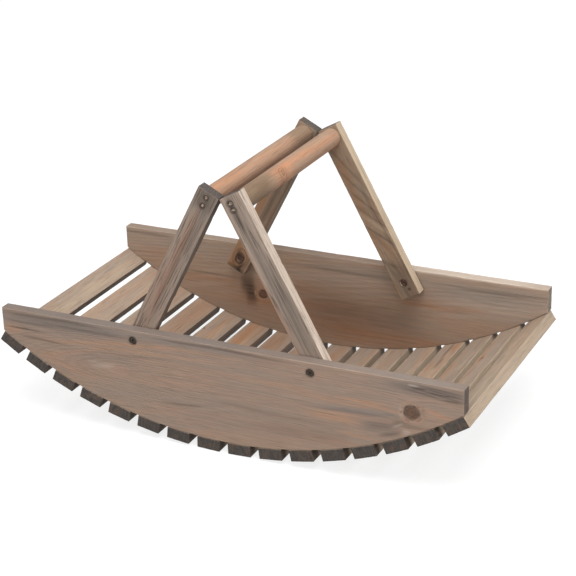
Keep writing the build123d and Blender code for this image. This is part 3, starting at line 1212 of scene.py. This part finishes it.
# The strokes that each batten has by chance: the range of each number, in a stroke's order
slat_chances = {
    "orange": ((-90, 90), (-9, 9), (30, 90), (1.5, 4), (0.15, 0.4)),
    "pale": ((-90, 90), (-9, 9), (40, 110), (2, 5), (0.15, 0.4)),
    "grey": ((-110, 110), (-9, 9), (20, 60), (2, 6), (0.2, 0.5)),
}


def slat_side_shade_and_light(index):
    """A batten's sides: painted shade on the left, painted light paler and paler to the right."""
    if index == slat_count - 1:
        return {"pale": 0.5}
    if index < slat_count / 2:
        return {"dark": 0.75 - 0.09 * index}
    return {"pale": min(0.9, 0.2 * (index - 6))}


def slat_growth(index):
    """A batten's grain, its own for each one, and the marks that only some have."""
    chance = np.random.default_rng(slat_luck_seed + index)
    strokes = [Stroke(kind, *(chance.uniform(*span) for span in spans))
               for kind, spans in slat_chances.items()]
    above = chance.choice([-1, 1])
    # Beyond where the boards cover a batten, its sides and underside are darkened: partly water
    # stain, partly painted shade
    covered = board_middle - board_thickness / 2 if index < slat_count - 1 else board_middle * 2
    return Growth(
        pith=(chance.uniform(-16, 16), above * chance.uniform(14, 60)),
        drift=(chance.uniform(-0.02, 0.02), chance.uniform(-0.05, 0.05)),
        spacing=chance.uniform(1.9, 3.2), wobble=chance.uniform(1.0, 2.4), relief=0.1,
        strokes=(*strokes, *strokes_of(**slat_strokes.get(index, {}))),
        knots=slat_knots.get(index, ()), side_stain_and_light=slat_side_shade_and_light(index), soak_and_shade_from=covered,
        seed=slat_grain_seed + index,
    )


def slat_well(a, b):
    """The dent over one nail in a batten's underside."""
    rings = floor_rings((0, 0.9, slat_well_radius), slat_well_depth)
    rings += ((slat_well_radius, well_lip_depth), (slat_well_radius + slat_well_bevel, 0.0))
    return Hole(a, b, (None, rings), blend=1, ragged=0.03)


def make_slat(index, material):
    """One batten, flat against the bow, with its nails in the middle of the boards' thickness."""
    node = f"slat_{index + 1:02d}"
    low, high = node_box(node)
    middle = (low + high) / 2
    half = (high[1] - low[1]) / 2
    tilt = atan2(middle[0], bow_centre_height - middle[2])
    nail_rows = (-slat_nail_spacing / 2, slat_nail_spacing / 2)
    nail_columns = (-board_middle, board_middle)
    holes = [slat_well(a, b) for a in nail_columns for b in nail_rows]
    columns = lines_between(-half, half, along_step,
                            [*with_arris_lines(-half, half), *nail_columns],
                            [(a, well_reach, hole_step) for a in nail_columns])
    edge = slat_width / 2
    rows = lines_between(-edge, edge, across_step, [*with_arris_lines(-edge, edge), *nail_rows])
    plan = StraightPlan((-half, half), (-edge, edge))
    made = flat_timber(plan, columns, rows, slat_thickness, slat_growth(index), holes)
    axes = ((0, 1, 0), (cos(tilt), 0, sin(tilt)), (-sin(tilt), 0, cos(tilt)))
    add_piece(node, "basket", made, middle, axes, material)


def weather_checks(count, first, last, seed, reach=8.5, room=20, lengths=(15, 50), sway=0.9):
    """Fine checks spread over the outer face of a leg, up to reach from its middle."""
    chance = np.random.default_rng(seed)
    checks = []
    for b in np.linspace(-reach, reach, count):
        start = chance.uniform(first, last - room)
        stop = min(start + chance.uniform(*lengths), last)
        across = b + chance.uniform(-sway, sway)
        checks.append(Check(0, start, stop, across, width=0.22, depth=0.35))
    return tuple(checks)


leg_growths = {
    ("left", "front"): Growth(
        pith=(-60.0, 30.0), drift=(0.02, 0.0), spacing=2.0, wobble=1.6, relief=0.16, seed=311,
        strokes=strokes_of(
            orange=((95, -1, 80, 3.2, 0.65, -0.02), (60, -7, 70, 2.4, 0.3)),
            dark=(
                (100, 1, 60, 2.0, 0.3, -0.02), (188, 0, 16, 14, 0.6), (150, 5, 30, 4, 0.3),
                (80, 5, 80, 4, 0.16), (35, 0, 45, 9, 0.05),
            ),
            grey=((184, 0, 22, 14, 0.8),),
        ),
        checks=weather_checks(3, 20, 165, 21),
        # painted shade on the leg's sides
        side_stain_and_light={"dark": 0.55},
    ),
    ("right", "front"): Growth(
        pith=(70.0, 30.0), drift=(0.02, 0.0), spacing=1.9, wobble=1.4, relief=0.18, seed=312,
        strokes=strokes_of(
            orange=((100, -10.5, 90, 1.8, 0.6),),
            grey=((110, 3, 90, 5.5, 0.5),),
            dark=(
                (172, -2, 18, 3.2, 0.55), (130, -2, 60, 1.4, 0.35, 0.02), (60, 1, 60, 1.4, 0.3),
                (50, 4, 60, 7, 0.22), (90, 6, 50, 1.0, 0.35, 0.01), (45, -4, 40, 1.0, 0.4, -0.01),
            ),
            pale=((140, -8, 60, 2.0, 0.25), (150, 9.5, 60, 2.4, 0.25)),
        ),
        checks=weather_checks(4, 15, 165, 22),
        # painted light on the leg's sides
        side_stain_and_light={"pale": 1.0},
    ),
    ("left", "back"): Growth(
        pith=(50.0, -36.0), drift=(0.03, 0.05), spacing=2.6, wobble=2.0, relief=0.1, seed=313,
        knots=(Knot(-1.0, -1.0, 6.0, 3.0, heart=False, swirl=0.7, long_share=2.4, wide_share=1.4),),
        strokes=strokes_of(
            orange=((70, -8, 80, 5, 0.8), (-10, 0, 24, 12, 0.6)),
            dark=(
                (85, 3, 45, 5, 0.55), (0, -4, 9, 2.0, 0.6), (-12, 5, 10, 4.0, 0.6),
                (-16, 0, 3, 14, 0.5), (95, 11, 100, 2.0, 0.6),
            ),
        ),
        # painted shade on the leg's sides
        side_stain_and_light={"dark": 0.2},
    ),
    ("right", "back"): Growth(
        pith=(-40.0, 40.0), drift=(0.25, 0.3), spacing=4.0, wobble=2.6, relief=0.12, seed=314,
        strokes=strokes_of(
            dark=(
                (63, -2, 18, 1.5, 0.5, -0.72), (84, 0, 20, 1.3, 0.3, -0.65),
                (100, 1, 22, 1.4, 0.35, -0.55), (122, 0, 26, 1.5, 0.3, -0.45),
                (145, 1, 30, 1.5, 0.3, -0.35), (90, 0, 90, 14, 0.16), (50, 9, 60, 1.2, 0.4, -0.06),
                (27, -6, 8, 2.6, 0.35, -0.9), (0, 2, 26, 13, 0.42), (-8.6, 3.5, 1.6, 1.3, 0.9),
            ),
            orange=((56, -4, 20, 4.0, 0.2, -0.72), (120, -6, 45, 5, 0.35)),
            pale=((75, 0, 18, 3.0, 0.2, -0.65),),
            grey=((0, 0, 26, 14, 0.4),),
        ),
        # painted light on the leg's sides
        side_stain_and_light={"pale": 0.7},
    ),
}


def pivot_bore():
    """A leg's bore, with the recess of the nut's head in its inner face."""
    bore = (0, 1.0, 2.0, sleeve_bore_radius)
    inner = floor_rings((*bore, recess_radius), leg_recess_depth) + recess_rim
    return Hole(0.0, 0.0, (floor_rings(bore, 0), inner), through=3, blend=3, ragged=0.02, dirt=0.5)


def rod_nail_well(a, b):
    """The ragged dent over one rod nail in a leg's outer face."""
    rings = floor_rings((0, 0.8, handle_well_radius), handle_well_depth)
    rings += ((handle_well_radius + handle_well_bevel, well_lip_depth),)
    return Hole(a, b, (rings, None), blend=1, ragged=0.2, dirt=1.0, dirt_and_shade_reach=2.0)


def make_leg(end_name, side_name, side, material):
    """One handle leg. Its own a is 0 at the pivot, and its outer face is towards the board."""
    node = f"{end_name}_handle_{side_name}_leg"
    body = f"{end_name}_handle"
    low, high = node_box(node)
    middle = (low + high) / 2
    pivot = pivots[body]
    lean = atan2(middle[0] - pivot[0], middle[2] - pivot[2])
    spread = abs(sin(lean)) * leg_width
    half = (high[2] - low[2] - spread) / cos(lean) / 2
    centre = hypot(middle[0] - pivot[0], middle[2] - pivot[2])
    first, last = centre - half, centre + half
    rod_low, rod_high = node_box(f"{end_name}_handle_rod")
    rod_middle = (rod_low + rod_high) / 2
    rod_from_pivot = hypot(rod_middle[0] - pivot[0], rod_middle[2] - pivot[2])
    half_spacing = handle_nail_spacings[end_name] / 2
    offset = handle_nail_offsets[end_name]
    holes = [pivot_bore()]
    holes += [rod_nail_well(rod_from_pivot + step * half_spacing, offset) for step in (-1, 1)]
    growth = leg_growths[end_name, side_name]
    fixed = [*with_arris_lines(first, last), *(hole.a for hole in holes)]
    dense = [(hole.a, bore_reach if hole.through else well_reach, hole_step) for hole in holes]
    columns = lines_between(first, last, leg_along_step, fixed, dense)
    edge = leg_width / 2
    lines = [*with_arris_lines(-edge, edge), 0.0, offset, *check_lines(growth)]
    rows = lines_between(-edge, edge, across_step, lines)
    plan = StraightPlan((first, last), (-edge, edge))
    made = flat_timber(plan, columns, rows, leg_thickness, growth, holes)
    axes = ((sin(lean), 0, cos(lean)), (cos(lean), 0, -sin(lean)), (0, side, 0))
    origin = (pivot[0], middle[1], pivot[2])
    add_piece(node, body, made, origin, axes, material)


rod_growths = {
    "left": Growth(
        pith=(6.0, -16.0), drift=(0.01, 0.05), spacing=2.2, wobble=1.2, relief=0.06, seed=401,
        strokes=strokes_of(
            grey=((92, 4, 26, 20, 0.7), (-20, -6, 90, 4, 0.5)),
            orange=((-85, 4, 40, 6, 0.4), (10, 6, 60, 3, 0.3)),
        ),
    ),
    "right": Growth(
        pith=(-5.0, -13.0), drift=(-0.02, 0.03), spacing=2.0, wobble=1.2, relief=0.06, seed=402,
        knots=(Knot(-30, 8.6, 4.2, 3.0, heart=False, swirl=0.6, long_share=3.4, wide_share=1.5),),
        strokes=strokes_of(
            grey=((-98, 8, 46, 20, 0.95), (-60, 3, 36, 5, 0.5)),
            dark=((-105, 8, 30, 20, 0.12), (-75, 8, 14, 3, 0.25)),
            orange=((-26, 8, 22, 7, 0.55), (50, 7, 60, 2.4, 0.55), (0, 4, 50, 2, 0.4)),
        ),
    ),
}


def make_rod(end_name, material):
    """One turned handle rod."""
    node = f"{end_name}_handle_rod"
    low, high = node_box(node)
    half = (high[1] - low[1]) / 2
    made = round_timber(half, (high[0] - low[0]) / 2, rod_growths[end_name])
    axes = ((0, 1, 0), (1, 0, 0), (0, 0, 1))
    add_piece(node, f"{end_name}_handle", made, (low + high) / 2, axes, material)


def dress_metal():
    """Materials for the frame's own metal pieces."""
    bolt = metal_material("bolt_zinc", (84, 74, 64), (46, 37, 30), 0.8)
    nut = metal_material("nut_rust", (104, 82, 70), (70, 46, 36), 0.8, metallic=0.2)
    nail = metal_material("nail_tan", (214, 186, 162), (62, 47, 39), 0.75, metallic=0.2)
    metals = {"bolt": bolt, "nut": nut, "nails": nail, "washers": bolt}
    for name, piece in frame["nodes"].items():
        for ending, material in metals.items():
            if name.endswith(ending):
                piece.data.materials.clear()
                piece.data.materials.append(material)


# Stage, in metres

floor_half = 30.0
floor_paint = {
    "Base Color": (0.3, 0.3, 0.3, 1), "Roughness": 0.9, "Specular IOR Level": 0.0,
    "Emission Color": (1, 1, 1, 1), "Emission Strength": 0.76,
}

# The room's brightness, by the height of the direction that its light comes from
room_brightness = {"From Min": -0.3, "From Max": 0.1, "To Min": 0.1, "To Max": 0.72}

# Each light's place, size and power in watts, and the place that they all shine at
lights = {
    "key": ((0.4, -0.7, 2.2), 1.3, 30.0),
    "front_fill": ((0.5, -2.6, 0.8), 1.8, 28.0),
    "right_fill": ((2.3, -0.6, 0.9), 1.2, 12.0),
}
light_target = (0, 0, 0.1)


def add_floor():
    """A plain pale floor that glows as a studio's light table does. It throws no light back at
    the trug, whose undersides stay dark."""
    mesh = bpy.data.meshes.new("floor")
    corners = [(x * floor_half, y * floor_half, 0) for x, y in ((-1, -1), (1, -1), (1, 1), (-1, 1))]
    mesh.from_pydata(corners, [], [(0, 1, 2, 3)])
    floor = bpy.data.objects.new("floor", mesh)
    bpy.context.scene.collection.objects.link(floor)
    material = bpy.data.materials.new("floor_paint")
    material.use_nodes = True
    shader = material.node_tree.nodes["Principled BSDF"]
    for socket, value in floor_paint.items():
        shader.inputs[socket].default_value = value
    mesh.materials.append(material)
    floor.visible_diffuse = False


def add_light(name, place, size, power):
    """A soft square light."""
    lamp = bpy.data.lights.new(name, "AREA")
    lamp.shape = "SQUARE"
    lamp.size = size
    lamp.energy = power
    light = bpy.data.objects.new(name, lamp)
    light.location = place
    towards = Vector(light_target) - Vector(place)
    light.rotation_euler = towards.to_track_quat("-Z", "Y").to_euler()
    bpy.context.scene.collection.objects.link(light)


def add_lights():
    """A room that is bright above and dim below, a large soft light overhead and two weaker
    ones, in front and at the right."""
    world = bpy.data.worlds.new("studio")
    world.use_nodes = True
    nodes = world.node_tree.nodes
    links = world.node_tree.links
    background = nodes["Background"]
    background.inputs["Color"].default_value = (1, 1, 1, 1)
    direction = nodes.new("ShaderNodeTexCoord")
    parts = nodes.new("ShaderNodeSeparateXYZ")
    links.new(direction.outputs["Generated"], parts.inputs[0])
    height = nodes.new("ShaderNodeMapRange")
    for socket, value in room_brightness.items():
        height.inputs[socket].default_value = value
    links.new(parts.outputs[2], height.inputs["Value"])
    links.new(height.outputs[0], background.inputs["Strength"])
    bpy.context.scene.world = world
    for name, (place, size, power) in lights.items():
        add_light(name, place, size, power)


def add_camera():
    """The photograph's view: its direction, distance, tilt of the horizon and framing."""
    azimuth, elevation, roll = radians(26.27), radians(22.955), radians(1.736)
    distance = 1.83
    target = Vector((0.01018, 0.00483, 0.13279))
    back = Vector((sin(azimuth) * cos(elevation), -cos(azimuth) * cos(elevation), sin(elevation)))
    lens = bpy.data.cameras.new("camera")
    lens.lens = 105.78
    lens.sensor_width = 36.0
    camera = bpy.data.objects.new("camera", lens)
    camera.location = target + back * distance
    camera.rotation_mode = "QUATERNION"
    camera.rotation_quaternion = (-back).to_track_quat("-Z", "Y") @ Quaternion((0, 0, 1), -roll)
    bpy.context.scene.collection.objects.link(camera)
    bpy.context.scene.camera = camera


make_board("front", -1, front_growth, timber_material("front_board_wood", board_finish))
make_board("back", 1, back_growth, timber_material("back_board_wood", back_board_finish))
slat_wood = timber_material("slat_wood", slat_finish)
for slat_index in range(slat_count):
    make_slat(slat_index, slat_wood)
front_leg_wood = timber_material("front_leg_wood", front_leg_finish)
back_leg_wood = timber_material("back_leg_wood", back_leg_finish)
rod_wood = timber_material("rod_wood", rod_finish)
for end_name in ("left", "right"):
    make_rod(end_name, rod_wood)
    make_leg(end_name, "front", -1, front_leg_wood)
    make_leg(end_name, "back", 1, back_leg_wood)
dress_metal()
add_floor()
add_lights()
add_camera()
bpy.context.scene.view_settings.view_transform = "Standard"
